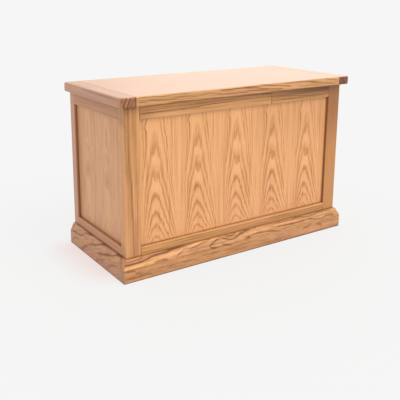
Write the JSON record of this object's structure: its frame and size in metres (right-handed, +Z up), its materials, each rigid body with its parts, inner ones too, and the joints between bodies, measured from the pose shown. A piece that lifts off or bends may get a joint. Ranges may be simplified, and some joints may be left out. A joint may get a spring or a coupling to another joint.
{
  "type": "blanket chest",
  "caption": "Framed and panelled wooden blanket chest on a chamfered plinth, with an overhanging lid on brass butt hinges held by slotted sliding stays.",
  "frame": {"origin": "on the floor, under the middle of the closed chest with its hinge barrels", "axes": "+X along the length, to the right of someone facing the front; +Y from the front to the hinged back; +Z up"},
  "size_m": [0.91, 0.4083, 0.56],
  "materials": {
    "solid_wood": "satin varnish",
    "veneered_panel": "satin varnish over figured veneer",
    "plain_panel": "thin satin varnish",
    "pine": "planed, unfinished",
    "brass": "brushed",
    "steel": "zinc plated",
    "nylon": "matt",
    "felt": "felt"
  },
  "bodies": {
    "carcass": {"batten_screws": "steel", "floor_batten_front": "pine", "floor_batten_left": "pine", "floor_batten_rear": "pine", "floor_batten_right": "pine", "floor_glides": "nylon", "floor_panel": "plain_panel", "front_bottom_rail": "solid_wood", "front_panel": "veneered_panel", "front_rail_dowels": "pine", "front_top_rail_long": "solid_wood", "front_top_rail_short": "solid_wood", "hinge_left_case_leaf": "brass", "hinge_left_pin": "brass", "hinge_middle_case_leaf": "brass", "hinge_middle_pin": "brass", "hinge_right_case_leaf": "brass", "hinge_right_pin": "brass", "hinge_screws_case": "brass", "left_bottom_rail": "solid_wood", "left_panel": "veneered_panel", "left_top_rail": "solid_wood", "plinth_front": "solid_wood", "plinth_left": "solid_wood", "plinth_right": "solid_wood", "post_front_left": "solid_wood", "post_front_right": "solid_wood", "post_rear_left": "solid_wood", "post_rear_right": "solid_wood", "rear_bottom_rail": "solid_wood", "rear_panel": "plain_panel", "rear_top_rail": "solid_wood", "right_bottom_rail": "solid_wood", "right_panel": "veneered_panel", "right_top_rail": "solid_wood", "stay_left_stud": "brass", "stay_left_stud_plate": "brass", "stay_plate_screws": "brass", "stay_right_stud": "brass", "stay_right_stud_plate": "brass"},
    "lid": {"hinge_left_lid_leaf": "brass", "hinge_middle_lid_leaf": "brass", "hinge_right_lid_leaf": "brass", "hinge_screws_lid": "brass", "lid_bumpers": "felt", "lid_front_rail": "solid_wood", "lid_left_cleat": "solid_wood", "lid_panel": "veneered_panel", "lid_rear_rail": "solid_wood", "lid_right_cleat": "solid_wood", "stay_bracket_screws": "brass", "stay_left_lid_bracket": "brass", "stay_left_rivet": "brass", "stay_right_lid_bracket": "brass", "stay_right_rivet": "brass"},
    "stay_arm_left": {"stay_left_arm": "brass"},
    "stay_arm_right": {"stay_right_arm": "brass"}
  },
  "joints": [
    {"name": "lid_hinge", "type": "hinge", "parent": "carcass", "child": "lid", "pos_m": [0, 0.20015, 0.53125], "axis": [-1, 0, 0], "range_deg": [0, 95]},
    {"name": "stay_left_pivot", "type": "hinge", "parent": "lid", "child": "stay_arm_left", "pos_m": [-0.40005, 0.03559, 0.51925], "axis": [-1, 0, 0], "range_deg": [-48, 0]},
    {"name": "stay_right_pivot", "type": "hinge", "parent": "lid", "child": "stay_arm_right", "pos_m": [0.40005, 0.03559, 0.51925], "axis": [-1, 0, 0], "range_deg": [-48, 0]}
  ],
  "couplings": [
    {"joint": "stay_left_pivot", "follows": "lid_hinge", "ratio": -0.5},
    {"joint": "stay_right_pivot", "follows": "lid_hinge", "ratio": -0.5}
  ]
}
